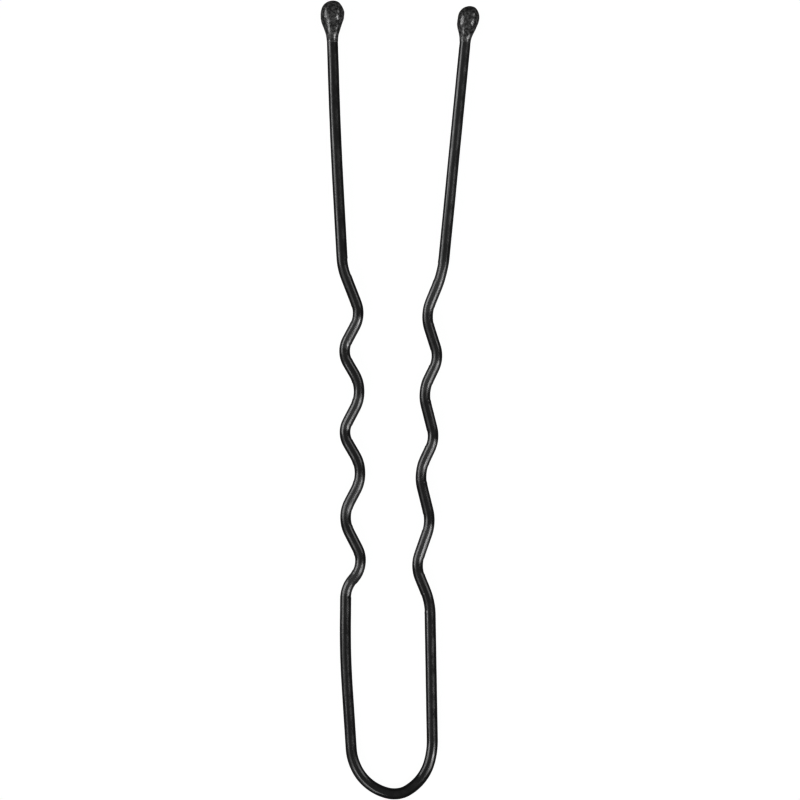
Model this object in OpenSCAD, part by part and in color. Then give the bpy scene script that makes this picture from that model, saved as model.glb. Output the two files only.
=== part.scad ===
// French hair pin: one lacquered steel wire bent into a U, crimped along both legs,
// with a dipped drop on the end of each leg.
// It lies on a flat surface, on its two drops and the end of its loop.
// X runs across the pin, Y from the loop to the drops, Z up, and the origin is
// under the middle of its outline.

/* [Pin] */
// Length over all, from the outside of the loop to the end of the left drop
pin_l = 75; // [62:0.5:100]
// Diameter of the wire
wire_d = 1; // [0.8:0.05:1.3]
// Distance between the middles of the two drops
tip_spread = 12.8; // [10:0.1:20]
// How far the right drop ends short of the left one
right_leg_short = 0.3; // [0:0.1:3]
// Outward bow of the left leg between its crimps and its drop
left_leg_bow = 0.05; // [0.01:0.01:0.4]
// Bend radius of that bow
left_bow_r = 400; // [200:10:600]

/* [Loop] */
// Width of the loop between the centre lines of its sides
loop_w = 8.2; // [7:0.1:11]
// Height above the lowest centre line at which the loop has turned into its sides
loop_rise = 5; // [4:0.1:6]
// How far the middle of the loop lies beside the middle of the drops, less than 0 is left
loop_x = -0.4; // [-1.5:0.05:1.5]

/* [Crimps] */
// Height of the lowest crimp bend above the end of the loop
crimp_low = 18.6; // [16:0.1:22]
// Height of the highest crimp bend above the end of the loop
crimp_high = 50; // [44:0.1:55]
// Distance between the middle lines of the two legs at the lowest crimp bend
waist_low = 6.4; // [5.5:0.05:9]
// Distance between the middle lines of the two legs at the highest crimp bend
waist_high = 7.9; // [6:0.05:11]
// How far the middle of the waist lies beside the middle of the drops, less than 0 is left
waist_x = -0.45; // [-1.5:0.05:1.5]
// Depth of the left leg's crimps, from corner to corner of the bends
left_crimp = 2.2; // [1.2:0.05:2.6]
// Depth of the right leg's crimps, from corner to corner of the bends
right_crimp = 1.35; // [1:0.05:2.6]
// Usual bend radius of the centre line in a crimp
crimp_r = 2.8; // [1.5:0.05:3.5]
// How much thinner the wire is where it was pressed round a bend
bend_press = 0.03; // [0.01:0.005:0.06]

/* [Drops] */
// Diameter of the left drop
left_tip_d = 2.17; // [1.95:0.01:3]
// Diameter of the right drop, which is a little smaller
right_tip_d = 1.95; // [1.8:0.01:2.15]
// How much higher the crown of a drop is than half a ball
tip_crown = 0.19; // [0:0.01:0.4]
// Radius along the belly of a drop, from its widest place to its shoulder
belly_r = 2.8; // [1.6:0.1:3.4]
// Slope of a drop's shoulder against the wire
tip_slope = 19.5; // [16:0.5:24]
// Radius of the hollow sweep between shoulder and wire
neck_r = 2.5; // [1:0.1:4]
// Length of the thin sleeve in which a drop runs out on the wire
sleeve_l = 0.1; // [0.05:0.01:0.6]
// Thickness of the drop's skin where it runs out on the wire
tip_lip = 0.05; // [0.03:0.01:0.1]
// How far the left drop leans from the line of its wire, to the right
left_lean = 2; // [0:0.1:5]
// How far the right drop leans from the line of its wire, to the right
right_lean = 2.8; // [0:0.1:5]
// Gap between the wire and the drop that holds it
fit_gap = 0.02; // [0.01:0.005:0.05]

/* [Hidden] */
$fn = 48;

LEFT = -1;
RIGHT = 1;
wire_r = wire_d / 2;
left_tip_r = left_tip_d / 2;
right_tip_r = right_tip_d / 2;

// The bends, in the order in which the wire runs: down the left leg, round the loop
// and up the right leg.
// Crimps:
// up: share of the stretch from crimp_low to crimp_high.
// out: share of half the crimp depth, outwards from the leg's middle line.
// bend: share of crimp_r.
// Loop:
// up: share of loop_rise above the lowest centre line.
// out: share of half the loop's width, to the right of the loop's middle.
// bend: share of half the loop's width.
UP = 0;
OUT = 1;
BEND = 2;
LEFT_CRIMPS = [
    [1, 0.76, 4.3],
    [0.856, -0.82, 0.92],
    [0.746, 0.9, 0.77],
    [0.63, -1.02, 1.17],
    [0.503, 0.92, 0.72],
    [0.385, -1.02, 1.2],
    [0.25, 1.05, 1.09],
    [0.11, -0.99, 0.9],
    [0.04, 0.75, 0.92],
];
LOOP = [
    [2.63, -1, 20],
    [0.7, -0.82, 1.12],
    [0.152, -0.554, 1.08],
    [0, 0.06, 0.61],
    [0, 0.357, 0.6],
    [0.304, 0.878, 1.12],
    [0.838, 1.03, 1.7],
];
RIGHT_CRIMPS = [
    [0, 0.99, 2.1],
    [0.106, -1.21, 1.05],
    [0.238, 0.73, 1.28],
    [0.386, -1.21, 1.4],
    [0.488, 0.84, 0.93],
    [0.63, -1.07, 1.25],
    [0.73, 1.04, 0.92],
    [0.858, -1.09, 1.24],
    [0.985, 1.11, 3.6],
];

// Straight wire that is left between two bends at least
least_straight = 0.15;
// How far a straight reaches into the thinner wire of a bend
joint_lap = 0.03;

// A bend is [across, height, bend radius] in the pin's own plane.
function crimp_bends(side, rows, depth) = [
    for (row = rows)
        let (
            height = crimp_low + row[UP] * (crimp_high - crimp_low),
            middle = (waist_low + row[UP] * (waist_high - waist_low)) / 2
        )
            [waist_x + side * (middle + row[OUT] * depth / 2), height, row[BEND] * crimp_r]
];

function loop_bends(rows) = [
    for (row = rows)
        [loop_x + row[OUT] * loop_w / 2, wire_r + row[UP] * loop_rise, row[BEND] * loop_w / 2]
];

// A bend halfway along a straight run, which bows it to the left
function bow_bend(from, to, bow, radius) = [
    (from.x + to.x) / 2 - 2 * bow,
    (from.y + to.y) / 2,
    radius
];

// Half outline of a drop about its own axis, with the middle of its widest circle at 0:
// an elliptic crown above, and below it the belly, a cone and a hollow sweep onto the wire.
lip_r = wire_r + fit_gap + tip_lip;
function crown_h(tip_r) = tip_r + tip_crown;
function shoulder(tip_r) = [tip_r - belly_r * (1 - cos(tip_slope)), -belly_r * sin(tip_slope)];
function cone_h(tip_r) = (shoulder(tip_r).x - lip_r) / tan(tip_slope);

// The sweep takes up this length below the end of the cone, and as much of the cone's side
function sweep_cut(tip_r) = min(neck_r * tan(tip_slope / 2), 0.9 * cone_h(tip_r) / cos(tip_slope));

// Length of a drop from its widest circle to where its skin ends
function neck_l(tip_r) = cone_h(tip_r) - shoulder(tip_r).y + sweep_cut(tip_r) + sleeve_l;

// Middles of the drops in the pin's plane
left_tip = [-tip_spread / 2, pin_l - crown_h(left_tip_r)];
right_tip = [tip_spread / 2, pin_l - right_leg_short - crown_h(right_tip_r)];

// A drop leans about the end of its skin, so the wire ends beside the drop's middle
function wire_end(tip, tip_r, lean) = [tip.x - neck_l(tip_r) * sin(lean), tip.y, 0];

// The route of the wire from the left drop to the right one
left_end = wire_end(left_tip, left_tip_r, left_lean);
right_end = wire_end(right_tip, right_tip_r, right_lean);
left_bends = crimp_bends(LEFT, LEFT_CRIMPS, left_crimp);
right_bends = crimp_bends(RIGHT, RIGHT_CRIMPS, right_crimp);
left_bow = bow_bend(left_end, left_bends[0], left_leg_bow, left_bow_r);
route = concat([left_end, left_bow], left_bends, loop_bends(LOOP), right_bends, [right_end]);
last = len(route) - 1;

function spot(i) = [route[i].x, route[i].y];

// Length and direction of the route from point i to the next, the direction in degrees from +X
function run(i) = norm(spot(i + 1) - spot(i));
function heading(i) = atan2(route[i + 1].y - route[i].y, route[i + 1].x - route[i].x);
function direction(i) = [cos(heading(i)), sin(heading(i))];

// Turn at point i, more than 0 to the left
function turn(i) =
    let (change = heading(i) - heading(i - 1))
        change > 180 ? change - 360 : change < -180 ? change + 360 : change;

function is_bend(i) = i > 0 && i < last;

// Length that a bend of its full radius takes up on each side of point i
function full_cut(i) = is_bend(i) ? route[i].z * tan(abs(turn(i)) / 2) : 0;

// Share of its full radius for which bend i finds room between its neighbours
function room(i) = min(
    1,
    (run(i - 1) - least_straight) / (full_cut(i - 1) + full_cut(i)),
    (run(i) - least_straight) / (full_cut(i) + full_cut(i + 1))
);

function bend_r(i) = route[i].z * room(i);
function cut(i) = is_bend(i) ? full_cut(i) * room(i) : 0;

// Where the straight after point i sets out, and how long it is
function straight_start(i) = spot(i) + cut(i) * direction(i);
function straight_l(i) = run(i) - cut(i) - cut(i + 1);

// Middle of the circle that bend i follows
function bend_middle(i) =
    let (side = sign(turn(i)) * bend_r(i), along = direction(i))
        straight_start(i) + side * [-along.y, along.x];

// Stands at a point of the pin's plane, with +X turned to the angle
module at_point(point, angle) {
    translate([point.x, point.y, 0])
        rotate([0, 0, angle])
            children();
}

// The straight between two bends laps over the thinner ends of both
module straight_wire(i) {
    lap_before = is_bend(i) ? joint_lap : 0;
    lap_after = is_bend(i + 1) ? joint_lap : 0;
    at_point(straight_start(i) - lap_before * direction(i), heading(i))
        rotate([0, 90, 0])
            cylinder(h = lap_before + straight_l(i) + lap_after, d = wire_d);
}

module bent_wire(i) {
    from = turn(i) > 0 ? heading(i - 1) - 90 : heading(i) + 90;
    at_point(bend_middle(i), from)
        rotate_extrude(angle = abs(turn(i)))
            translate([bend_r(i), 0])
                circle(d = wire_d - bend_press);
}

// The plane of the pin leans up from the loop to the left drop, so that both touch the floor
rest_tilt = asin((left_tip_r - wire_r) / (left_tip.y - wire_r));
rest_l = wire_r + (left_tip.y - wire_r) * cos(rest_tilt) + crown_h(left_tip_r);
middle_x = (right_tip_r - left_tip_r) / 2;

module at_rest() {
    translate([-middle_x, wire_r - rest_l / 2, wire_r])
        rotate([rest_tilt, 0, 0])
            translate([0, -wire_r, 0])
                children();
}

// The smaller drop droops until it touches the floor too
right_droop_z = wire_r + (right_tip.y - wire_r) * sin(rest_tilt) - right_tip_r;
right_droop = asin(right_droop_z / neck_l(right_tip_r));

// Points that a drop's outline has on its crown, on its belly and on its hollow sweep
crown_steps = 14;
belly_steps = 4;
sweep_steps = 5;

module drop_outline(tip_r) {
    skin_end = -neck_l(tip_r);
    sweep_r = sweep_cut(tip_r) / tan(tip_slope / 2);
    sweep_middle = [lip_r + sweep_r, skin_end + sleeve_l];
    polygon(concat(
        [for (i = [0 : crown_steps - 1])
            let (a = 90 * (1 - i / crown_steps)) [tip_r * cos(a), crown_h(tip_r) * sin(a)]],
        [for (i = [0 : belly_steps])
            let (a = tip_slope * i / belly_steps) [tip_r - belly_r * (1 - cos(a)), -belly_r * sin(a)]],
        [for (i = [0 : sweep_steps])
            let (a = tip_slope * (1 - i / sweep_steps)) sweep_middle - sweep_r * [cos(a), -sin(a)]],
        [[lip_r, skin_end], [0, skin_end]]
    ));
}

// Drop with the middle of its widest circle at the origin and its wire coming from -X.
// It leans and droops about the point where its skin ends on the wire.
module drop(tip_r, lean, droop) {
    neck = neck_l(tip_r);
    difference() {
        translate([-neck, 0, 0])
            rotate([0, droop, -lean])
                translate([neck, 0, 0])
                    rotate([0, 90, 0])
                        rotate_extrude()
                            drop_outline(tip_r);
        translate([-neck - tip_r, 0, 0])
            rotate([0, 90, 0])
                cylinder(h = neck + tip_r + fit_gap, r = wire_r + fit_gap);
    }
}

module wire() {
    color("#1d1d1f")
        at_rest() {
            for (i = [0 : last - 1])
                straight_wire(i);
            for (i = [1 : last - 1])
                bent_wire(i);
        }
}

module tip_left() {
    color("#141415")
        at_rest()
            at_point(left_end, heading(0) + 180)
                drop(left_tip_r, left_lean, 0);
}

module tip_right() {
    color("#141415")
        at_rest()
            at_point(right_end, heading(last - 1))
                drop(right_tip_r, right_lean, right_droop);
}

wire();
tip_left();
tip_right();
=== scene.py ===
from collections import namedtuple
from math import asin, atan2, ceil, cos, exp, hypot, pi, radians, sin, sqrt, tan

import bpy
from bpy.props import FloatProperty, FloatVectorProperty, IntProperty, PointerProperty
from bpy.types import Operator, Panel, PropertyGroup
from mathutils import Euler, Matrix, Vector, noise


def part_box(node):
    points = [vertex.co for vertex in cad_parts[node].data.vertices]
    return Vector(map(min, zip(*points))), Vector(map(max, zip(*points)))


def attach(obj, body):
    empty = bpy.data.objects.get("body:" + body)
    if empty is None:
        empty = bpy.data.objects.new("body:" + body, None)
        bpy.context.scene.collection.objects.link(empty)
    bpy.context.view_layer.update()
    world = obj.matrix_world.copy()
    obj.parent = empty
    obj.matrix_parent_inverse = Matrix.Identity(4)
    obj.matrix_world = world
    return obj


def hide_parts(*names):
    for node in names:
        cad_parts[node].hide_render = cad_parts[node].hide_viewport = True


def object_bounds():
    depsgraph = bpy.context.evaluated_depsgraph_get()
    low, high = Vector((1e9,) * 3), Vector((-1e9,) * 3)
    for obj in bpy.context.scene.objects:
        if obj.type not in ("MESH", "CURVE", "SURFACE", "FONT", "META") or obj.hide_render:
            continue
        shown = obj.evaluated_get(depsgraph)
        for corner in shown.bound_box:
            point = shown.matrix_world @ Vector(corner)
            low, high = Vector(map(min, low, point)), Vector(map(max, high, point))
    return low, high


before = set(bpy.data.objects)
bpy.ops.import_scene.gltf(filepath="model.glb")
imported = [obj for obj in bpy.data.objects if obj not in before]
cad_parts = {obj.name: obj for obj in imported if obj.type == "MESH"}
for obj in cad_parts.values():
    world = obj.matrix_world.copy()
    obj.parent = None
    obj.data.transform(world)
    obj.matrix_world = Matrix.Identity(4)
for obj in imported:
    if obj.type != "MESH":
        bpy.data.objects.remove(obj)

bl_info = {
    "name": "Crimped Hair Pin",
    "version": (1, 0, 0),
    "blender": (4, 5, 0),
    "location": "3D View > Sidebar > Hair Pin",
    "description": "Builds a crimped, lacquered hair pin with dipped ends, and the light table it lies on",
    "category": "Add Mesh",
}

MM = 0.001
LEFT = -1
RIGHT = 1
UP = Vector((0, 0, 1))
CAD_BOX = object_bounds()
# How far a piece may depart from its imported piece, as a share of the pin's own sides
BOX_SLACK = 0.03
# Faces that meet at more than this angle keep a sharp edge between them
SHARP_ANGLE = radians(60)
WHITE = (1, 1, 1, 1)

# Bends of the wire, in the order in which it runs: down the left leg, round the loop, up the right leg

# up is a share of the stretch from the lowest crimp to the highest one, out a share of half
# the crimp depth outwards from the leg's middle line, and radius a share of the usual crimp radius
Bend = namedtuple("Bend", "up out radius")
LEFT_CRIMPS = (
    Bend(0.996, 0.695, 1.8),
    Bend(0.856, -0.82, 0.92),
    Bend(0.746, 0.9, 0.77),
    Bend(0.63, -1.02, 1.17),
    Bend(0.503, 0.92, 0.72),
    Bend(0.385, -1.02, 1.2),
    Bend(0.25, 1.05, 1.09),
    Bend(0.11, -0.99, 0.9),
    Bend(0.04, 0.75, 0.92),
)
RIGHT_CRIMPS = (
    Bend(0, 0.99, 2.1),
    Bend(0.106, -1.21, 1.05),
    Bend(0.238, 0.73, 1.28),
    Bend(0.386, -1.21, 1.4),
    Bend(0.488, 0.84, 0.93),
    Bend(0.63, -1.07, 1.25),
    Bend(0.73, 1.04, 0.92),
    Bend(0.858, -1.09, 1.24),
    Bend(0.985, 1.11, 3.6),
)
# In the loop, up is a share of the loop's rise, and out and radius are shares of half its width
LOOP = (
    Bend(2.63, -1, 20),
    Bend(0.7, -0.82, 1.12),
    Bend(0.152, -0.554, 1.08),
    Bend(0, 0.06, 0.61),
    Bend(0, 0.357, 0.6),
    Bend(0.304, 0.878, 1.12),
    Bend(0.838, 1.03, 1.7),
)

# How far a drop's outline stands out from its plain form on the left and on the right, in
# millimetres, at even steps from the crown down to the lip
Outline = namedtuple("Outline", "left right")
LEFT_OUTLINE = Outline(
    left=(-0.04, 0.02, 0.01, 0.012, 0.024, 0.042, 0.053, 0.033, 0.032, 0.026, 0.024, 0),
    right=(0.07, 0, -0.01, 0.026, 0.006, -0.004, -0.046, -0.034, -0.014, -0.008, 0.008, 0),
)
RIGHT_OUTLINE = Outline(
    left=(-0.09, -0.018, 0.008, 0.034, 0.036, 0.064, 0.12, 0.141, 0.122, 0.092, 0.055, 0.01),
    right=(0.1, 0.02, 0.012, 0.014, 0.004, -0.008, -0.016, 0.002, -0.004, -0.004, -0.012, -0.005),
)

# Soft swellings in the dip of a drop: how far down from the crown as a share of the drop's length,
# where round it in degrees from the left side over the top, and size across the drop, size along it
# and height in millimetres
Swelling = namedtuple("Swelling", "down turn across along height")
LEFT_SWELLINGS = (
    Swelling(0.294, 54, 0.25, 0.24, 0.028),
    Swelling(0.4, 116, 0.2, 1.1, 0.035),
    Swelling(0.12, 85, 0.4, 0.4, -0.012),
    Swelling(0.33, 85, 0.35, 0.35, -0.01),
)
RIGHT_SWELLINGS = (
    Swelling(0.33, 56, 0.25, 0.23, 0.028),
    Swelling(0.41, 118, 0.2, 1, 0.035),
    Swelling(0.2, 110, 0.3, 0.3, 0.012),
    Swelling(0.3, 85, 0.35, 0.35, -0.01),
)

# Softboxes round the table: compass direction from +X towards +Y and height above the table,
# breadth and depth as seen from the pin, and tilt of the box, all in degrees, and brightness
Softbox = namedtuple("Softbox", "name turn rise breadth depth tilt brightness")
SOFTBOXES = (
    Softbox("Left_softbox", 167.2, 18.3, 34.7, 40.4, -9, 7.5),
    Softbox("Lower_left_softbox", 230.6, 31.3, 36.4, 27.1, -12, 7.1),
    Softbox("Right_softbox", 338.8, 28.8, 18, 41.8, 12, 7.8),
    Softbox("Right_strip_light", 343.6, 46.7, 10, 39, 17, 10),
    Softbox("Upper_right_softbox", 27.2, 22.9, 26.3, 36.5, -4, 5.1),
    Softbox("Fill_softbox", 197.5, 34.1, 37.5, 47, 1, 1.9),
)


def number(name, value, description, **limits):
    """A number that the user can change."""
    return FloatProperty(name=name, description=description, default=value, **limits)


def length(name, millimetres, description):
    """A size that the user can change, kept in metres."""
    return number(name, millimetres * MM, description, unit="LENGTH", precision=5)


def angle_size(name, degrees, description):
    """An angle that the user can change."""
    return number(name, radians(degrees), description, subtype="ANGLE")


def share(name, value, description):
    """A number from 0 to 1 that the user can change."""
    return number(name, value, description, subtype="FACTOR", min=0, max=1)


def grey(name, level, description):
    """A colour that the user can change, grey to begin with."""
    return FloatVectorProperty(
        name=name, description=description, default=(level,) * 3, subtype="COLOR", min=0, max=1
    )


def node_height(node):
    """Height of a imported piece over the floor, in millimetres."""
    low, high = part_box(node)
    return (high.z - low.z) / MM


class WireSizes(PropertyGroup):
    """Sizes of the bent wire"""

    pin_l: length("Pin length", 75, "From the outside of the loop to the end of the left drop")
    wire_d: length("Wire", 1, "Diameter of the wire")
    tip_spread: length("Drop spread", 12.8, "Distance between the middles of the two drops")
    right_leg_short: length("Right leg short by", 0.3, "How far the right drop ends short of the left")
    left_leg_bow: length("Left leg bow", 0.07, "Outward bow of the left leg above its crimps")
    left_bow_r: length("Bow radius", 400, "Bend radius of the bow in the left leg")
    loop_w: length("Loop width", 8.2, "Width of the loop between the middles of its sides")
    loop_rise: length("Loop rise", 5, "Height at which the loop has turned into its sides")
    loop_x: length("Loop offset", -0.4, "How far the loop's middle lies beside the middle of the drops")
    crimp_low: length("Lowest crimp", 18.6, "Height of the lowest crimp bend above the loop's end")
    crimp_high: length("Highest crimp", 50, "Height of the highest crimp bend above the loop's end")
    waist_low: length("Lower waist", 6.4, "Distance between the legs at the lowest crimp bend")
    waist_high: length("Upper waist", 7.9, "Distance between the legs at the highest crimp bend")
    waist_x: length("Waist offset", -0.45, "How far the waist lies beside the middle of the drops")
    left_crimp: length("Left crimp depth", 2.2, "Depth of the left leg's crimps, corner to corner")
    right_crimp: length("Right crimp depth", 1.35, "Depth of the right leg's crimps, corner to corner")
    crimp_r: length("Crimp radius", 2.8, "Usual bend radius of the wire's middle in a crimp")
    least_straight: length("Least straight", 0.15, "Straight wire left between two bends at least")
    ease: length("Ease", 0.5, "Length over which a bend of the wire sets in")
    die_w: length("Die width", 1.75, "Width of the crimping tooth that pressed into a bend's inner side")
    die_press: length("Die press", 0.025, "How deep the crimping tooth flattened the wire")
    die_ridge: length("Die ridge", 0.008, "Height of the ridge that the tooth's edge raised")
    coat: length("Lacquer", 0.011, "Thickness of the lacquer on the bare wire")
    film: length("Lacquer waves", 0.006, "How much the lacquer's thickness wanders along the wire")
    ring_step: length("Ring step", 0.09, "Distance between two rings of the wire's mesh")
    sides: IntProperty(name="Sides", description="Sides of the wire's mesh", default=36, min=12, max=48)


class DropSizes(PropertyGroup):
    """Sizes of the two dipped drops"""

    left_d: length("Left drop", node_height("tip_left"), "Diameter of the left drop")
    right_d: length("Right drop", 1.95, "Diameter of the right drop")
    solid_crown: length("Solid crown", 0.19, "How much higher the packed crown is than half a ball")
    left_crown: length("Left crown", 0.175, "How much higher the left drop's crown is than half a ball")
    right_crown: length("Right crown", 0.145, "How much higher the right drop's crown is than half a ball")
    blunt: number(
        "Bluntness", 2.08, "Power of the crown's curve, 2 for round and more for blunter", min=1.5, max=4
    )
    belly_r: length("Belly radius", 2.8, "Radius along the belly, from the widest place to the shoulder")
    slope: angle_size("Shoulder slope", 19.5, "Slope of a drop's shoulder against the wire")
    neck_r: length("Neck radius", 2.5, "Radius of the hollow sweep between shoulder and wire")
    sleeve_l: length("Sleeve", 0.1, "Length of the thin sleeve in which a drop runs out on the wire")
    solid_lip: length("Solid lip", 0.07, "How far the lip of the packed drop stands off the wire")
    skin: length("Skin", 0.014, "Thickness to which the dip thins out on the wire")
    left_lean: angle_size("Left lean", 2, "How far the left drop leans from its wire, to the right")
    right_lean: angle_size("Right lean", 2.8, "How far the right drop leans from its wire, to the right")
    bore_gap: length("Bore gap", 0.004, "Gap between the wire and the drop round it")
    waves: length("Waves", 0.012, "Height of the shallow waves in the dip")
    wave_size: length("Wave size", 0.55, "Distance between two of those waves")
    sides: IntProperty(name="Sides", description="Sides of a drop's mesh", default=112, min=24, max=192)
    row_step: length("Row step", 0.045, "Distance between two rows of a drop's mesh")


class FinishSettings(PropertyGroup):
    """Colours and gloss of the pin"""

    lacquer: grey("Lacquer", 0.009, "Colour of the wire's lacquer")
    lacquer_worn: grey("Thin lacquer", 0.035, "Colour of the lacquer where the crimping tooth thinned it")
    # Painted sheen: a paler lacquer colour laid on one slant of the crimps and of the right upper leg,
    # standing in for the reflected light there
    lacquer_painted_sheen: grey("Painted sheen lacquer", 0.034, "Colour of the lacquer where handling has dulled it")
    dip: grey("Dip", 0.012, "Colour of the dipped drops")
    dip_milky: grey("Milky dip", 0.078, "Colour of the paler clouds in the dip")
    dust: grey("Dust", 0.11, "Colour of the dust in the lacquer and in the dip")
    lacquer_rough: share("Lacquer roughness", 0.19, "Roughness of the wire's lacquer")
    dip_rough: share("Dip roughness", 0.16, "Roughness of the dipped drops")


class StageSettings(PropertyGroup):
    """The light table, the softboxes and the camera"""

    floor_w: length("Table", 5000, "Width of the light table")
    floor_glow: number("Glow", 0.97, "How bright the light table shines by itself", min=0)
    floor_pale: share("Pale", 0.02, "How much of the room's light the table returns")
    floor_in_gloss: number("Table in gloss", 0.2, "How bright the table is in the pin's reflections", min=0)
    room: number("Ceiling", 0.9, "Brightness of the room overhead", min=0)
    horizon: number("Horizon", 0.3, "Brightness of the room near the table", min=0)
    contrast: number(
        "Tone curve", 0.6, "Gamma of the picture's tones, less than 1 for more contrast", min=0.2, max=2
    )
    light_distance: length("Softbox distance", 1200, "Distance from the pin to each softbox")
    view_w: length("View width", 75.195, "Width of the picture at the pin")
    view_x: length("View across", 0.435, "Middle of the picture, across the pin")
    view_y: length("View along", 0.04, "Middle of the picture, along the pin")
    view_turn: angle_size("View turn", 0.684, "Turn of the picture against the pin")
    lens: number("Lens", 400, "Focal length in millimetres", unit="CAMERA", min=20)
    sensor: number("Sensor", 36, "Sensor width in millimetres", unit="CAMERA", min=8)


# Outline of a drop, about its own axis, with the middle of its widest circle at 0


class DropForm:
    """Sizes of one drop that follow from the named ones."""

    # Most of the cone's side that the hollow sweep may take up
    most_swept = 0.9

    def __init__(self, drops, wire_r, diameter, lip, crown, blunt=2):
        self.r = diameter / 2
        self.blunt = blunt
        self.lip = wire_r + lip
        self.crown_h = self.r + crown
        slope = drops.slope
        self.slope = slope
        self.belly_r = drops.belly_r
        self.shoulder_r = self.r - self.belly_r * (1 - cos(slope))
        self.shoulder_l = self.belly_r * sin(slope)
        self.cone_h = (self.shoulder_r - self.lip) / tan(slope)
        self.cut = min(drops.neck_r * tan(slope / 2), self.most_swept * self.cone_h / cos(slope))
        self.neck_l = self.shoulder_l + self.cone_h + self.cut + drops.sleeve_l

    def radius(self, along):
        """Radius of the drop at a distance along its axis, more than 0 towards the crown."""
        if along >= 0:
            return self.r * max(0, 1 - (along / self.crown_h) ** self.blunt) ** (1 / self.blunt)
        down = -along
        if down < self.shoulder_l:
            return self.r - self.belly_r + sqrt(self.belly_r**2 - down**2)
        corner = self.shoulder_l + self.cone_h
        if down < corner - self.cut * cos(self.slope):
            return self.shoulder_r - (down - self.shoulder_l) * tan(self.slope)
        if down < corner + self.cut:
            sweep_r = self.cut / tan(self.slope / 2)
            return self.lip + sweep_r - sqrt(sweep_r**2 - (corner + self.cut - down) ** 2)
        return self.lip


Corner = namedtuple("Corner", "x y radius crimp", defaults=(False,))
Stretch = namedtuple("Stretch", "start x y heading curve")
Crimp = namedtuple("Crimp", "place side")


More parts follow.
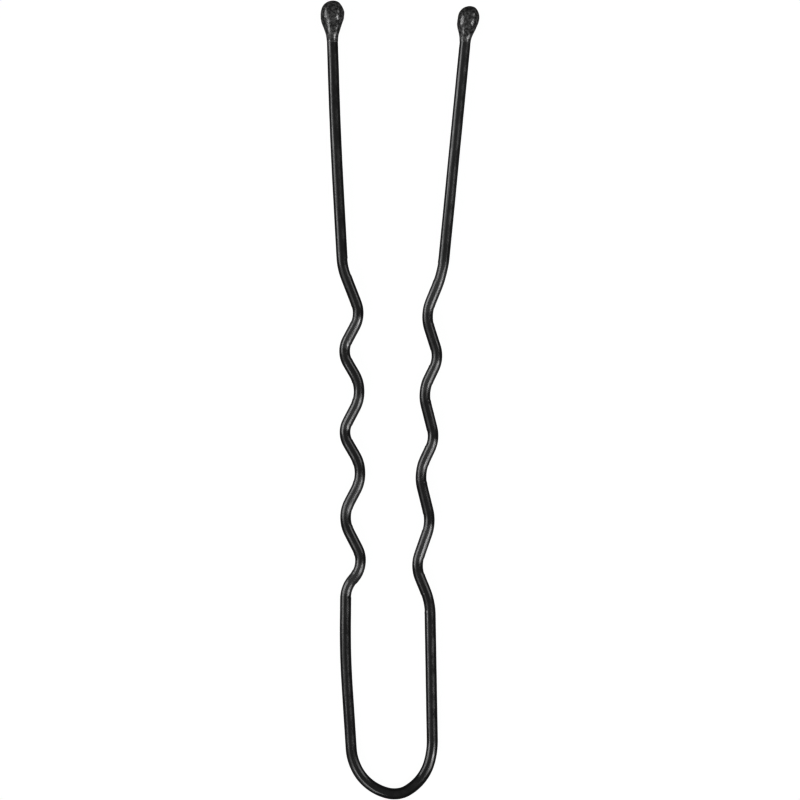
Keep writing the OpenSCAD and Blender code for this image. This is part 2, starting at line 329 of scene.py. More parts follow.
class Pin:
    """The route of the wire in the pin's own plane, and how that plane lies on the floor."""

    # Places, as shares of half the easing length, over which the route is averaged
    eased_over = (-1, -0.6, -0.2, 0.2, 0.6, 1)

    def __init__(self, sizes, drops):
        self.sizes = sizes
        self.wire_r = sizes.wire_d / 2
        self.left_solid = DropForm(drops, self.wire_r, drops.left_d, drops.solid_lip, drops.solid_crown)
        self.right_solid = DropForm(drops, self.wire_r, drops.right_d, drops.solid_lip, drops.solid_crown)
        self.left_tip = Vector((-sizes.tip_spread / 2, sizes.pin_l - self.left_solid.crown_h))
        right_y = sizes.pin_l - sizes.right_leg_short - self.right_solid.crown_h
        self.right_tip = Vector((sizes.tip_spread / 2, right_y))
        self.left_end = self.left_tip - Vector((self.left_solid.neck_l * sin(drops.left_lean), 0))
        self.right_end = self.right_tip - Vector((self.right_solid.neck_l * sin(drops.right_lean), 0))
        self.stretches = []
        self.crimps = []
        self.length = 0
        self.lay_route(self.corners())

    def crimp_corners(self, side, rows, depth):
        sizes = self.sizes
        for row in rows:
            height = sizes.crimp_low + row.up * (sizes.crimp_high - sizes.crimp_low)
            middle = (sizes.waist_low + row.up * (sizes.waist_high - sizes.waist_low)) / 2
            across = sizes.waist_x + side * (middle + row.out * depth / 2)
            yield Corner(across, height, row.radius * sizes.crimp_r, True)

    def loop_corners(self):
        sizes = self.sizes
        half = sizes.loop_w / 2
        for row in LOOP:
            height = self.wire_r + row.up * sizes.loop_rise
            yield Corner(sizes.loop_x + row.out * half, height, row.radius * half)

    def corners(self):
        """The corners that the wire would have without its bend radii."""
        sizes = self.sizes
        left = list(self.crimp_corners(LEFT, LEFT_CRIMPS, sizes.left_crimp))
        right = self.crimp_corners(RIGHT, RIGHT_CRIMPS, sizes.right_crimp)
        bow = Corner(
            (self.left_end.x + left[0].x) / 2 - 2 * sizes.left_leg_bow,
            (self.left_end.y + left[0].y) / 2,
            sizes.left_bow_r,
        )
        start = Corner(*self.left_end, 0)
        end = Corner(*self.right_end, 0)
        return [start, bow, *left, *self.loop_corners(), *right, end]

    def lay_route(self, corners):
        """Works the corners out into straights and arcs that follow each other smoothly."""
        last = len(corners) - 1
        steps = [(b.x - a.x, b.y - a.y) for a, b in zip(corners, corners[1:])]
        run = [hypot(*step) for step in steps]
        heading = [atan2(step[1], step[0]) for step in steps]
        turn = [0.0] * len(corners)
        for i in range(1, last):
            turn[i] = (heading[i] - heading[i - 1] + pi) % (2 * pi) - pi
        full = [corner.radius * tan(abs(turn[i]) / 2) for i, corner in enumerate(corners)]
        spare = self.sizes.least_straight
        room = [1.0] * len(corners)
        for i in range(1, last):
            before = (run[i - 1] - spare) / (full[i - 1] + full[i])
            after = (run[i] - spare) / (full[i] + full[i + 1])
            room[i] = min(1, before, after)
        cut = [full[i] * room[i] for i in range(len(corners))]
        way = heading[0]
        for i in range(last):
            start = (corners[i].x + cut[i] * cos(way), corners[i].y + cut[i] * sin(way))
            self.add_stretch(*start, way, 0, run[i] - cut[i] - cut[i + 1])
            if i + 1 == last:
                break
            end_x = corners[i + 1].x - cut[i + 1] * cos(way)
            end_y = corners[i + 1].y - cut[i + 1] * sin(way)
            bend_r = corners[i + 1].radius * room[i + 1]
            bend_l = bend_r * abs(turn[i + 1])
            side = 1 if turn[i + 1] > 0 else -1
            if corners[i + 1].crimp:
                self.crimps.append(Crimp(self.length + bend_l / 2, side))
            self.add_stretch(end_x, end_y, way, side / bend_r, bend_l)
            way += turn[i + 1]

    def add_stretch(self, x, y, heading, curve, run):
        """Lengthens the route by a straight, or by an arc where curve isn't 0."""
        self.stretches.append(Stretch(self.length, x, y, heading, curve))
        self.length += run

    def raw(self, s):
        """Place and heading at a distance along the route."""
        s = min(max(s, 0), self.length)
        found = self.stretches[0]
        for stretch in self.stretches:
            if stretch.start > s:
                break
            found = stretch
        t = s - found.start
        if not found.curve:
            return found.x + t * cos(found.heading), found.y + t * sin(found.heading), found.heading
        now = found.heading + t * found.curve
        x = found.x + (sin(now) - sin(found.heading)) / found.curve
        y = found.y - (cos(now) - cos(found.heading)) / found.curve
        return x, y, now

    def at(self, s):
        """Place and heading with each bend eased in, as a springy wire takes it."""
        reach = min(self.sizes.ease / 2, s, self.length - s)
        found = [self.raw(s + reach * offset) for offset in self.eased_over]
        return tuple(sum(values) / len(found) for values in zip(*found))

    def rest(self):
        """Carries the pin's own plane to where the pin lies on its loop and its two drops."""
        tilt = self.tilt()
        rest_l = self.wire_r + (self.left_tip.y - self.wire_r) * cos(tilt) + self.left_solid.crown_h
        middle_x = (self.right_solid.r - self.left_solid.r) / 2
        place = Matrix.Translation((-middle_x, self.wire_r - rest_l / 2, self.wire_r))
        return place @ Matrix.Rotation(tilt, 4, "X") @ Matrix.Translation((0, -self.wire_r, 0))

    def tilt(self):
        """How far the left drop, thicker than the wire, tilts the pin's plane up from the floor."""
        return asin((self.left_solid.r - self.wire_r) / (self.left_tip.y - self.wire_r))

    def right_over(self):
        """How high the smaller drop would hang over the floor if it didn't droop."""
        return self.wire_r + (self.right_tip.y - self.wire_r) * sin(self.tilt()) - self.right_solid.r


def smooth(edge_0, edge_1, value):
    """0 before the first edge, 1 after the second one and smooth in between."""
    t = min(max((value - edge_0) / (edge_1 - edge_0), 0), 1)
    return t * t * (3 - 2 * t)


def check_box(mesh, node):
    """Raises an error when a mesh doesn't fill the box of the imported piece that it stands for."""
    low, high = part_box(node)
    for axis, letter in enumerate("xyz"):
        places = [vertex.co[axis] for vertex in mesh.vertices]
        slack = BOX_SLACK * (CAD_BOX[1][axis] - CAD_BOX[0][axis])
        if abs(min(places) - low[axis]) > slack or abs(max(places) - high[axis]) > slack:
            raise ValueError(f"{mesh.name} departs from the box of {node} along {letter}")


def add_object(name, data):
    """A new object in the scene."""
    made = bpy.data.objects.new(name, data)
    bpy.context.scene.collection.objects.link(made)
    return made


def new_piece(name, verts, faces, marks, node, material):
    """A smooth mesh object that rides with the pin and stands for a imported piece."""
    mesh = bpy.data.meshes.new(name)
    mesh.from_pydata(verts, [], faces)
    mesh.validate()
    mesh.shade_smooth()
    mesh.set_sharp_from_angle(angle=SHARP_ANGLE)
    for mark, values in marks.items():
        if isinstance(values[0], tuple):
            attribute = mesh.attributes.new(mark, "FLOAT_VECTOR", "POINT")
            attribute.data.foreach_set("vector", [part for value in values for part in value])
        else:
            attribute = mesh.attributes.new(mark, "FLOAT", "POINT")
            attribute.data.foreach_set("value", values)
    mesh.materials.append(material)
    check_box(mesh, node)
    piece = add_object(name, mesh)
    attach(piece, "root")
    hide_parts(node)


def angles(sides):
    """Even angles once round a ring of vertices."""
    return [2 * pi * k / sides for k in range(sides)]


def skin_faces(rings, sides):
    """The faces between rings of vertices that follow each other."""
    faces = []
    for a in range(0, (rings - 1) * sides, sides):
        for k in range(sides):
            b = (k + 1) % sides
            faces.append((a + k, a + b, a + sides + b, a + sides + k))
    return faces


def cap_faces(middle, first, sides, turn_round):
    """The faces between a ring, given by its first vertex, and the vertex in its middle."""
    faces = []
    for k in range(sides):
        pair = (first + k, first + (k + 1) % sides)
        faces.append((middle, *(reversed(pair) if turn_round else pair)))
    return faces


# Wire


class WireSkin:
    """How far the surface of the wire lies from its middle line."""

    # How softly a tooth's mark ends, and how wide the ridge beside it is
    tooth_soft = 0.07 * MM
    ridge_w = 0.11 * MM
    # Share of half a tooth over which the bend crowns
    crown_share = 0.8
    # How quickly the tooth's mark fades round the wire from the bend's inner and outer side
    inner_fade = 1.5
    outer_fade = 2
    # How far the outer side flattens and the top and underside swell, as shares of the press
    outer_flat = 0.6
    top_swell = 0.4
    # Waves of the lacquer: their length along the wire, and how quickly they change round it
    wave_l = 2.3 * MM
    wave_round = 0.8
    # Where the lacquer starts and where it is full, as distances from the wire's ends
    bare_l = 2.3 * MM
    coated_l = 3.1 * MM
    # Sine of the angle at which the lacquer is full again, above the bare line underneath
    full_over = -0.6
    # Wear inside a tooth's mark as a share of the wear on its ridge, and how quickly it fades
    mark_wear = 0.45
    wear_fade = 3
    # How softly the painted sheen ends, and the sine times cosine of the heading where it starts and is
    # full
    painted_sheen_soft = 0.7 * MM
    painted_sheen_from = 0.03
    painted_sheen_full = 0.2

    def __init__(self, pin):
        self.pin = pin
        self.sizes = pin.sizes
        places = [crimp.place for crimp in pin.crimps]
        middle = pin.length / 2
        self.left_crimps = (places[0], max(place for place in places if place < middle))
        self.right_crimps = (min(place for place in places if place > middle), pin.length)

    def tooth(self, s):
        """Side of the nearest crimp's inner face, and how much it is pressed, ridged and rounded at s."""
        nearest = min(self.pin.crimps, key=lambda crimp: abs(crimp.place - s))
        away = abs(s - nearest.place)
        half = self.sizes.die_w / 2
        pressed = 1 - smooth(half - self.tooth_soft, half + self.tooth_soft, away)
        ridged = exp(-(((away - half - self.ridge_w) / self.ridge_w) ** 2))
        crowned = exp(-((away / (self.crown_share * half)) ** 2))
        return nearest.side, pressed, ridged, crowned

    def radius(self, s, angle):
        """Distance from the middle line, with the angle counted from the left side over the top."""
        side, pressed, ridged, crowned = self.tooth(s)
        sizes = self.sizes
        inner = max(0, side * cos(angle)) ** self.inner_fade
        outer = max(0, -side * cos(angle)) ** self.outer_fade
        dent = (sizes.die_ridge * ridged - sizes.die_press * pressed) * inner
        dent -= self.outer_flat * sizes.die_press * crowned * outer
        dent += self.top_swell * sizes.die_press * crowned * sin(angle) ** 2
        spot = Vector((s / self.wave_l, self.wave_round * cos(angle), self.wave_round * sin(angle)))
        from_end = min(s, self.pin.length - s)
        coated = smooth(self.bare_l, self.coated_l, from_end)
        over = smooth(-1, self.full_over, sin(angle))
        film = coated * (sizes.coat + sizes.film * noise.noise(spot)) * over
        return self.pin.wire_r + dent + film

    def wear(self, s, angle):
        """How far the crimping tooth thinned the lacquer."""
        side, pressed, ridged, _ = self.tooth(s)
        return max(ridged, self.mark_wear * pressed) * max(0, side * cos(angle)) ** self.wear_fade

    def painted_sheen(self, s, heading):
        """Painted sheen: how much paler the lacquer is painted, on one slant of the crimps and of the right
        upper leg, where the reflected light lies.
        """
        reach = self.painted_sheen_soft
        found = 0
        for start, end in (self.left_crimps, self.right_crimps):
            inside = smooth(start - 2 * reach, start, s) * (1 - smooth(end, end + 2 * reach, s))
            found = max(found, inside)
        return found * smooth(self.painted_sheen_from, self.painted_sheen_full, sin(heading) * cos(heading))


def wire_mesh(pin):
    """Rings of vertices swept along the wire, closed by a blunt face at each end."""
    skin = WireSkin(pin)
    sides = pin.sizes.sides
    rings = ceil(pin.length / pin.sizes.ring_step)
    rest = pin.rest()
    verts = []
    wear = []
    painted_sheen = []
    around = []
    for ring in range(rings + 1):
        s = pin.length * ring / rings
        x, y, heading = pin.at(s)
        middle = Vector((x, y, 0))
        across = Vector((-sin(heading), cos(heading), 0))
        for angle in angles(sides):
            out = cos(angle) * across + sin(angle) * UP
            verts.append(rest @ (middle + skin.radius(s, angle) * out))
            wear.append(skin.wear(s, angle))
            # Painted sheen: a paler colour on one slant of the crimps, standing in for the reflected light
            # there
            painted_sheen.append(skin.painted_sheen(s, heading))
            around.append((cos(angle), sin(angle), s / MM))
    faces = skin_faces(rings + 1, sides)
    for s, first, turn_round in ((0, 0, True), (pin.length, rings * sides, False)):
        x, y, _ = pin.at(s)
        verts.append(rest @ Vector((x, y, 0)))
        wear.append(0)
        painted_sheen.append(0)
        around.append((0, 0, s / MM))
        faces += cap_faces(len(verts) - 1, first, sides, turn_round)
    return verts, faces, {"tooth_wear": wear, "painted_sheen": painted_sheen, "around_and_along": around}


# Drops


class Dip:
    """The lumpy surface of one drop."""

    # Sine of the angle below the middle at which the dip grows calm, down to plain underneath
    calm_under = 0.25
    # How many steps of the outline flow into one another
    blend = 0.65
    # Height and size of the finer waves, as shares of the shallow ones
    fine_height = 0.5
    fine_size = 0.45
    # Share of the way from the lip to the belly at which the waves are full
    waves_full = 0.35
    # Heights over the lip at which the relief starts and is full
    relief_from = 0.02 * MM
    relief_full = 0.3 * MM
    # Share of the drop's radius at which its uneven thickness is full
    uneven_full = 0.4

    def __init__(self, drop, drops):
        self.form = drop.form
        self.whole = drop.form.crown_h + drop.form.neck_l
        self.outline = drop.outline
        self.swellings = drop.swellings
        self.drops = drops
        self.seed = Vector((drop.seed, 0, 0))

    def lopsided(self, along):
        """How far the dip's middle lies left of the axis, and how much thicker it is than plain."""
        steps = len(self.outline.left) - 1
        place = steps * (self.form.crown_h - along) / self.whole
        weights = [exp(-(((place - i) / self.blend) ** 2)) for i in range(steps + 1)]
        total = sum(weights) / MM
        left = sum(weight * out for weight, out in zip(weights, self.outline.left)) / total
        right = sum(weight * out for weight, out in zip(weights, self.outline.right)) / total
        return (left - right) / 2, (left + right) / 2

    def raised(self, along, angle):
        """How far the dip stands over the plain outline."""
        form = self.form
        r = form.radius(along)
        spot = Vector((along, r * cos(angle), r * sin(angle)))
        height = 0
        for swelling in self.swellings:
            place = form.crown_h - swelling.down * self.whole
            turn = radians(swelling.turn)
            away = spot - Vector((place, form.radius(place) * cos(turn), form.radius(place) * sin(turn)))
            far_along = away.x / (swelling.along * MM)
            far_across = away.yz.length / (swelling.across * MM)
            height += swelling.height * MM * exp(-(far_along**2) - far_across**2)
        wave_size = self.drops.wave_size
        wave = noise.noise(spot / wave_size + self.seed)
        wave += self.fine_height * noise.noise(spot / (self.fine_size * wave_size) - self.seed)
        body = smooth(0, self.waves_full, (r - form.lip) / (form.r - form.lip))
        height += self.drops.waves * wave * body
        height *= smooth(self.relief_from, self.relief_full, r - form.lip)
        height += self.lopsided(along)[1] * smooth(0, self.uneven_full, r / form.r)
        if height > 0:
            height *= smooth(-1, -self.calm_under, sin(angle))
        return height


def skin_places(form, step):
    """Places along a drop's axis for its rows, closer together towards the crown's top."""
    down_rows = ceil(form.neck_l / step)
    up_rows = ceil(form.crown_h * pi / 2 / step)
    below = [-form.neck_l * (1 - i / down_rows) for i in range(down_rows)]
    above = [form.crown_h * sin(pi / 2 * i / up_rows) for i in range(up_rows)]
    return below + above


def drop_mesh(drop, wire_r, drops):
    """A closed drop: its outer skin from the lip to the crown, and the bore that holds the wire."""
    dip = Dip(drop, drops)
    form = drop.form
    droop = asin(drop.over / form.neck_l)
    sides = drops.sides
    skin_end = -form.neck_l
    to_skin = Matrix.Translation((skin_end, 0, 0))
    turned = to_skin @ Matrix.Rotation(-drop.lean, 4, "Z") @ Matrix.Rotation(droop, 4, "Y")
    leaned = turned @ to_skin.inverted()
    rows = []
    bore_r = wire_r + drops.bore_gap
    for along in (drops.bore_gap, skin_end / 3, skin_end * 2 / 3, skin_end):
        rows.append([Vector((along, bore_r * cos(a), bore_r * sin(a))) for a in angles(sides)])
    for along in skin_places(form, drops.row_step):
        row = []
        aside = dip.lopsided(along)[0]
        for a in angles(sides):
            r = form.radius(along) + dip.raised(along, a)
            row.append(leaned @ Vector((along, aside + r * cos(a), r * sin(a))))
        rows.append(row)
    verts = [v for row in rows for v in row]
    faces = skin_faces(len(rows), sides)
    verts.append(Vector((drops.bore_gap, 0, 0)))
    faces += cap_faces(len(verts) - 1, 0, sides, True)
    verts.append(leaned @ Vector((form.crown_h, dip.lopsided(form.crown_h)[0], 0)))
    top = (len(rows) - 1) * sides
    faces += cap_faces(len(verts) - 1, top, sides, False)
    return verts, faces


Drop = namedtuple("Drop", "name node end way form lean over outline swellings seed")


def both_drops(pin, drops):
    """What the left drop and the right one each have of their own."""
    # The two legs run towards their drops in opposite senses of the route
    left = Drop(
        name="Drop_left",
        node="tip_left",
        end=pin.left_end,
        way=pin.stretches[0].heading + pi,
        form=DropForm(drops, pin.wire_r, drops.left_d, drops.skin, drops.left_crown, drops.blunt),
        lean=drops.left_lean,
        over=0,
        outline=LEFT_OUTLINE,
        swellings=LEFT_SWELLINGS,
        seed=5.1,
    )
    right = Drop(
        name="Drop_right",
        node="tip_right",
        end=pin.right_end,
        way=pin.stretches[-1].heading,
        form=DropForm(drops, pin.wire_r, drops.right_d, drops.skin, drops.right_crown, drops.blunt),
        lean=drops.right_lean,
        over=pin.right_over(),
        outline=RIGHT_OUTLINE,
        swellings=RIGHT_SWELLINGS,
        seed=11.3,
    )
    return left, right


# Materials

# How much rougher a speck of dust is than the lacquer round it
DUST_ROUGH = 0.3
# How high the dust and the fine lines stand against the coat's dimples
LACQUER_DUST_HEIGHT = 0.5
DIP_DUST_HEIGHT = 0.2
LINE_HEIGHT = 6
# How quickly the fine lines change across the wire, twice, and along it
LINE_CHANGE = (3.2, 3.2, 0.12)
# How much paler the lacquer is in its mottled spots
PALER = 1.7
# Heights of the coats' dimples
LACQUER_RELIEF = 0.004 * MM
DIP_RELIEF = 0.035 * MM


def feed(tree, value, socket):
    """Links a node's output to a socket, or sets the socket to a number or a colour."""
    if isinstance(value, bpy.types.NodeSocket):
        tree.links.new(value, socket)
    else:
        socket.default_value = value


def new_group(name, inputs, outputs):
    """A shader node group that turns a place and some numbers into others, without its nodes."""
    tree = bpy.data.node_groups.new(name, "ShaderNodeTree")
    tree.interface.new_socket(name="Vector", in_out="INPUT", socket_type="NodeSocketVector")
    for socket, default in inputs.items():
        made = tree.interface.new_socket(name=socket, in_out="INPUT", socket_type="NodeSocketFloat")
        made.default_value = default
    for socket in outputs:
        tree.interface.new_socket(name=socket, in_out="OUTPUT", socket_type="NodeSocketFloat")
    return tree, tree.nodes.new("NodeGroupInput"), tree.nodes.new("NodeGroupOutput")


def add_noise(tree, vector, scale, detail, roughness=0.5):
    found = tree.nodes.new("ShaderNodeTexNoise")
    found.inputs["Detail"].default_value = detail
    found.inputs["Roughness"].default_value = roughness
    tree.links.new(vector, found.inputs["Vector"])
    feed(tree, scale, found.inputs["Scale"])
    return found.outputs["Fac"]


def add_math(tree, operation, first, second=None, third=None):
    found = tree.nodes.new("ShaderNodeMath")
    found.operation = operation
    for place, value in enumerate((first, second, third)):
        if value is not None:
            feed(tree, value, found.inputs[place])
    return found.outputs[0]


def add_range(tree, value, from_low, from_high, to_low=0, to_high=1):
    """Carries a range of values smoothly over to another one."""
    found = tree.nodes.new("ShaderNodeMapRange")
    found.interpolation_type = "SMOOTHSTEP"
    tree.links.new(value, found.inputs["Value"])
    names = ("From Min", "From Max", "To Min", "To Max")
    for name, limit in zip(names, (from_low, from_high, to_low, to_high)):
        feed(tree, limit, found.inputs[name])
    return found.outputs["Result"]


def add_mix(tree, factor, first, second):
    """Mixes two colours. A mix node has its factor, first and second colour at 0, 6 and 7."""
    found = tree.nodes.new("ShaderNodeMix")
    found.data_type = "RGBA"
    feed(tree, factor, found.inputs[0])
    for place, colour in ((6, first), (7, second)):
        linked = isinstance(colour, bpy.types.NodeSocket)
        feed(tree, colour if linked else (*colour, 1), found.inputs[place])
    return found.outputs[2]


def add_mark(tree, name):
    """Reads a mark that the mesh carries on its vertices."""
    found = tree.nodes.new("ShaderNodeAttribute")
    found.attribute_name = name
    return found


def orange_peel_group():
    """Fine dimples and long shallow waves of a sprayed or dipped coat, as a height from 0 to 1."""
    tree, given, out = new_group(
        "Orange peel",
        {"Dimples per metre": 9000, "Waves per metre": 900, "Waves share": 0.5},
        ("Height", "Gloss"),
    )
    vector = given.outputs["Vector"]
    dimples = add_noise(tree, vector, given.outputs["Dimples per metre"], detail=2)
    waves = add_noise(tree, vector, given.outputs["Waves per metre"], detail=3)
    waves_part = add_math(tree, "MULTIPLY", waves, given.outputs["Waves share"])
    dimples_share = add_math(tree, "SUBTRACT", 1, given.outputs["Waves share"])
    height = add_math(tree, "MULTIPLY_ADD", dimples, dimples_share, waves_part)
    tree.links.new(height, out.inputs["Height"])
    gloss = add_range(tree, waves, from_low=0.3, from_high=0.7)
    tree.links.new(gloss, out.inputs["Gloss"])
    return tree


def dust_group():
    """Sparse specks of dust that dried into the coat, as a mask."""
    tree, given, out = new_group(
        "Dust specks",
        {"Specks per metre": 2600, "Speck size": 0.12, "Amount": 0.2},
        ("Mask",),
    )
    cells = tree.nodes.new("ShaderNodeTexVoronoi")
    tree.links.new(given.outputs["Vector"], cells.inputs["Vector"])
    tree.links.new(given.outputs["Specks per metre"], cells.inputs["Scale"])
    size = given.outputs["Speck size"]
    core_share = 0.4
    core = add_math(tree, "MULTIPLY", size, core_share)
    near = add_range(tree, cells.outputs["Distance"], core, size, to_low=1, to_high=0)
    pick = tree.nodes.new("ShaderNodeSeparateColor")
    tree.links.new(cells.outputs["Color"], pick.inputs["Color"])
    chosen = add_math(tree, "LESS_THAN", pick.outputs["Red"], given.outputs["Amount"])
    tree.links.new(add_math(tree, "MULTIPLY", near, chosen), out.inputs["Mask"])
    return tree


def use_group(tree, group, vector, **values):
    """Places a shared group in a material, with its own values."""
    found = tree.nodes.new("ShaderNodeGroup")
    found.node_tree = group
    tree.links.new(vector, found.inputs["Vector"])
    for name, value in values.items():
        found.inputs[name.replace("_", " ")].default_value = value
    return found


def coat_material(name, roughness):
    """A material with a Principled shader, and the object's own coordinates."""
    material = bpy.data.materials.new(name)
    material.use_nodes = True
    tree = material.node_tree
    shader = tree.nodes["Principled BSDF"]
    shader.inputs["Metallic"].default_value = 0
    shader.inputs["Roughness"].default_value = roughness
    place = tree.nodes.new("ShaderNodeTexCoord").outputs["Object"]
    return material, tree, shader, place


def add_bump(tree, height, distance, shader):
    """Raises a coat's surface by a height times a distance."""
    bump = tree.nodes.new("ShaderNodeBump")
    bump.inputs["Distance"].default_value = distance
    bump.inputs["Strength"].default_value = 1
    tree.links.new(height, bump.inputs["Height"])
    tree.links.new(bump.outputs["Normal"], shader.inputs["Normal"])


def add_roughness(tree, coat, usual, smoother, rougher):
    """Roughness that wanders with the coat's waves, by so much less and more than usual."""
    return add_range(tree, coat.outputs["Gloss"], 0, 1, usual - smoother, usual + rougher)


def lacquer_material(peel, dust, finish):
    """Sprayed black lacquer on steel wire, thinned by the crimping tooth, with a painted sheen on one
    slant.
    """
    material, tree, shader, place = coat_material("Black_lacquer", finish.lacquer_rough)
    coat = use_group(tree, peel, place, Dimples_per_metre=8500, Waves_per_metre=800, Waves_share=0.4)
    specks = use_group(tree, dust, place, Specks_per_metre=2400, Speck_size=0.1, Amount=0.16)
    dusty = specks.outputs["Mask"]
    spots = add_noise(tree, place, scale=1900, detail=4)
    mottle = add_range(tree, spots, from_low=0.35, from_high=0.75)
    wear = add_mark(tree, "tooth_wear")
    painted_sheen = add_mark(tree, "painted_sheen")
    around = add_mark(tree, "around_and_along")
    stretch = tree.nodes.new("ShaderNodeVectorMath")
    stretch.operation = "MULTIPLY"
    stretch.inputs[1].default_value = LINE_CHANGE
    tree.links.new(around.outputs["Vector"], stretch.inputs[0])
    lines = add_noise(tree, stretch.outputs["Vector"], scale=1, detail=2, roughness=0.6)
    crumbs = add_noise(tree, place, scale=6200, detail=3)
    chips = add_range(tree, crumbs, from_low=0.42, from_high=0.62)
    worn = add_math(tree, "MULTIPLY", wear.outputs["Fac"], chips)
    pale = [PALER * value for value in finish.lacquer]
    colour = add_mix(tree, mottle, finish.lacquer, pale)
    # Painted sheen: a paler colour on one slant of the crimps, standing in for the reflected light there
    colour = add_mix(tree, painted_sheen.outputs["Fac"], colour, finish.lacquer_painted_sheen)
    colour = add_mix(tree, worn, colour, finish.lacquer_worn)
    colour = add_mix(tree, dusty, colour, finish.dust)
    tree.links.new(colour, shader.inputs["Base Color"])
    rough = add_roughness(tree, coat, finish.lacquer_rough, smoother=0.05, rougher=0.08)
    rough = add_math(tree, "MULTIPLY_ADD", dusty, DUST_ROUGH, rough)
    tree.links.new(rough, shader.inputs["Roughness"])
    raised = add_math(tree, "MULTIPLY_ADD", dusty, LACQUER_DUST_HEIGHT, coat.outputs["Height"])
    raised = add_math(tree, "MULTIPLY_ADD", lines, LINE_HEIGHT, raised)
    add_bump(tree, raised, LACQUER_RELIEF, shader)
    return material


def dip_material(peel, dust, finish):
    """Glossy black plastic dip, a little milky and wavy."""
    material, tree, shader, place = coat_material("Black_dip", finish.dip_rough)
    coat = use_group(tree, peel, place, Dimples_per_metre=3800, Waves_per_metre=1500, Waves_share=0.5)
    specks = use_group(tree, dust, place, Specks_per_metre=2600, Speck_size=0.12, Amount=0.12)
    dusty = specks.outputs["Mask"]
    cloudy = add_noise(tree, place, scale=4200, detail=3, roughness=0.65)
    clouds = add_range(tree, cloudy, from_low=0.36, from_high=0.68)
    colour = add_mix(tree, clouds, finish.dip, finish.dip_milky)
    colour = add_mix(tree, dusty, colour, finish.dust)
    tree.links.new(colour, shader.inputs["Base Color"])
    rough = add_roughness(tree, coat, finish.dip_rough, smoother=0.05, rougher=0.06)
    tree.links.new(rough, shader.inputs["Roughness"])
    raised = add_math(tree, "MULTIPLY_ADD", dusty, DIP_DUST_HEIGHT, coat.outputs["Height"])
    add_bump(tree, raised, DIP_RELIEF, shader)
    return material


def shared_material(name, make, finish):
    """The material of that name and the groups in it, made when they are first asked for."""
    peel = bpy.data.node_groups.get("Orange peel") or orange_peel_group()
    dust = bpy.data.node_groups.get("Dust specks") or dust_group()
    return bpy.data.materials.get(name) or make(peel, dust, finish)


# Stage


def table_material(stage):
    """A light table that glows, takes faint shadows and stays dim in the pin's reflections."""
    material = bpy.data.materials.new("Light_table")
    material.use_nodes = True
    tree = material.node_tree
    tree.nodes.clear()
    pale = tree.nodes.new("ShaderNodeBsdfDiffuse")
    pale.inputs["Color"].default_value = (*(stage.floor_pale,) * 3, 1)
    glow = tree.nodes.new("ShaderNodeEmission")
    glow.inputs["Strength"].default_value = stage.floor_glow
    both = tree.nodes.new("ShaderNodeAddShader")
    tree.links.new(pale.outputs["BSDF"], both.inputs[0])
    tree.links.new(glow.outputs["Emission"], both.inputs[1])
    dim = tree.nodes.new("ShaderNodeEmission")
    dim.inputs["Strength"].default_value = stage.floor_in_gloss
    usual = both.outputs["Shader"]
    end_with_choice(tree, "ShaderNodeOutputMaterial", "Is Glossy Ray", usual, dim.outputs["Emission"])
    return material


def add_table(stage):
    half = stage.floor_w / 2
    mesh = bpy.data.meshes.new("Light_table")
    corners = [(-half, -half, 0), (half, -half, 0), (half, half, 0), (-half, half, 0)]
    mesh.from_pydata(corners, [], [(0, 1, 2, 3)])
    mesh.materials.append(table_material(stage))
    table = add_object("Light_table", mesh)


def end_with_choice(tree, output, ray, usual, chosen):
    """Ends a node tree with one shader for a kind of ray and another for all the rest."""
    path = tree.nodes.new("ShaderNodeLightPath")
    choice = tree.nodes.new("ShaderNodeMixShader")
    tree.links.new(path.outputs[ray], choice.inputs["Fac"])
    tree.links.new(usual, choice.inputs[1])
    tree.links.new(chosen, choice.inputs[2])
    out = tree.nodes.new(output)
    tree.links.new(choice.outputs["Shader"], out.inputs["Surface"])


def add_room(stage):
    """The pale, evenly lit room round the table, a little darker towards the horizon."""
    world = bpy.data.worlds.new("Studio")
    world.use_nodes = True
    tree = world.node_tree
    tree.nodes.clear()
    seen = tree.nodes.new("ShaderNodeBackground")
    seen.inputs["Color"].default_value = WHITE
    way = tree.nodes.new("ShaderNodeTexCoord").outputs["Generated"]
    split = tree.nodes.new("ShaderNodeSeparateXYZ")
    tree.links.new(way, split.inputs["Vector"])
    ceiling = tree.nodes.new("ShaderNodeBackground")
    ceiling.inputs["Color"].default_value = WHITE
    up = split.outputs["Z"]
    strength = add_range(tree, up, from_low=0, from_high=0.9, to_low=stage.horizon, to_high=stage.room)
    tree.links.new(strength, ceiling.inputs["Strength"])
    lights = ceiling.outputs["Background"]
    end_with_choice(tree, "ShaderNodeOutputWorld", "Is Camera Ray", lights, seen.outputs["Background"])
    bpy.context.scene.world = world


def add_softbox(box, distance):
    """A rectangular light that faces the pin."""
    light = bpy.data.lights.new(box.name, "AREA")
    light.shape = "RECTANGLE"
    light.size = 2 * distance * tan(radians(box.breadth / 2))
    light.size_y = 2 * distance * tan(radians(box.depth / 2))
    light.energy = pi * light.size * light.size_y * box.brightness
    turn = radians(box.turn)
    rise = radians(box.rise)
    out = Vector((cos(turn) * cos(rise), sin(turn) * cos(rise), sin(rise)))
    lamp = add_object(box.name, light)
    facing = out.to_track_quat("Z", "Y").to_matrix().to_4x4()
    roll = Matrix.Rotation(radians(box.tilt), 4, "Z")
    lamp.matrix_world = Matrix.Translation(distance * out) @ facing @ roll
    lamp.visible_camera = False


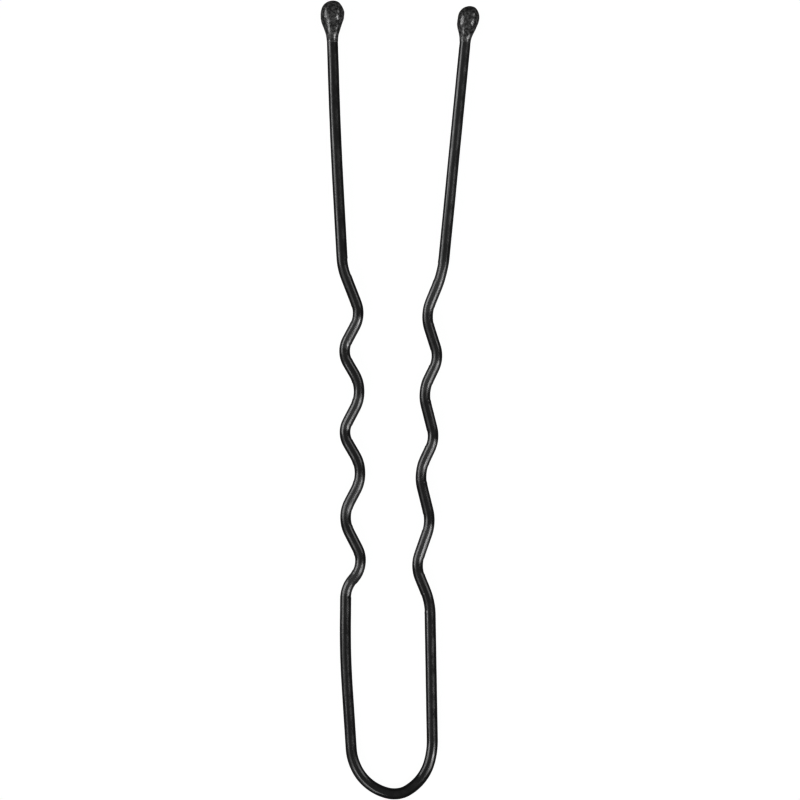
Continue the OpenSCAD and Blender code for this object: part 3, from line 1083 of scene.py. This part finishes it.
def add_camera(stage, height):
    """A long lens straight above the pin."""
    data = bpy.data.cameras.new("Camera")
    data.lens = stage.lens
    data.sensor_width = stage.sensor
    data.clip_start = 10 * MM
    distance = stage.view_w / 2 / (stage.sensor / 2 / stage.lens)
    camera = add_object("Camera", data)
    camera.location = (stage.view_x, stage.view_y, height + distance)
    camera.rotation_euler = Euler((0, 0, stage.view_turn))
    bpy.context.scene.camera = camera


def settings():
    """The sizes, the finish and the stage that the operators build from."""
    scene = bpy.context.scene
    return scene.pin_wire, scene.pin_drops, scene.pin_finish, scene.pin_stage


class PIN_OT_add_wire(Operator):
    """Add the lacquered wire: loop, shanks, crimps and upper legs in one piece"""

    bl_idname = "pin.add_wire"
    bl_label = "Add Wire"

    def execute(self, context):
        wire, drops, finish, _ = settings()
        verts, faces, marks = wire_mesh(Pin(wire, drops))
        material = shared_material("Black_lacquer", lacquer_material, finish)
        new_piece("Wire", verts, faces, marks, "wire", material)
        return {"FINISHED"}


class PIN_OT_add_drops(Operator):
    """Add the dipped drops on the ends of the two legs"""

    bl_idname = "pin.add_drops"
    bl_label = "Add Drops"

    def execute(self, context):
        wire, drops, finish, _ = settings()
        pin = Pin(wire, drops)
        material = shared_material("Black_dip", dip_material, finish)
        for drop in both_drops(pin, drops):
            verts, faces = drop_mesh(drop, pin.wire_r, drops)
            stand = pin.rest() @ Matrix.Translation((*drop.end, 0)) @ Matrix.Rotation(drop.way, 4, "Z")
            new_piece(drop.name, [stand @ v for v in verts], faces, {}, drop.node, material)
        return {"FINISHED"}


class PIN_OT_add_stage(Operator):
    """Add the light table, the softboxes and the camera"""

    bl_idname = "pin.add_stage"
    bl_label = "Add Stage"

    def execute(self, context):
        *_, stage = settings()
        add_table(stage)
        add_room(stage)
        for box in SOFTBOXES:
            add_softbox(box, stage.light_distance)
        add_camera(stage, node_height("wire") * MM / 2)
        context.scene.view_settings.view_transform = "Standard"
        context.scene.view_settings.gamma = stage.contrast
        return {"FINISHED"}


class PIN_PT_sidebar(Panel):
    """The hair pin's sizes and the buttons that build it"""

    bl_label = "Hair Pin"
    bl_idname = "PIN_PT_sidebar"
    bl_space_type = "VIEW_3D"
    bl_region_type = "UI"
    bl_category = "Hair Pin"

    def draw(self, context):
        layout = self.layout
        for operator in OPERATORS:
            layout.operator(operator.bl_idname)
        for title, group in zip(("Wire", "Drops", "Finish", "Stage"), settings()):
            box = layout.box()
            box.label(text=title)
            for name in group.bl_rna.properties.keys():
                if name not in ("rna_type", "name"):
                    box.prop(group, name)


OPERATORS = (PIN_OT_add_wire, PIN_OT_add_drops, PIN_OT_add_stage)
SETTINGS = {
    "pin_wire": WireSizes,
    "pin_drops": DropSizes,
    "pin_finish": FinishSettings,
    "pin_stage": StageSettings,
}
CLASSES = (*SETTINGS.values(), *OPERATORS, PIN_PT_sidebar)


def register():
    for cls in CLASSES:
        bpy.utils.register_class(cls)
    for name, group in SETTINGS.items():
        setattr(bpy.types.Scene, name, PointerProperty(type=group))


def unregister():
    for name in SETTINGS:
        delattr(bpy.types.Scene, name)
    for cls in reversed(CLASSES):
        bpy.utils.unregister_class(cls)


def main():
    register()
    bpy.ops.pin.add_wire()
    bpy.ops.pin.add_drops()
    bpy.ops.pin.add_stage()
    bpy.context.view_layer.update()


if __name__ == "__main__":
    main()
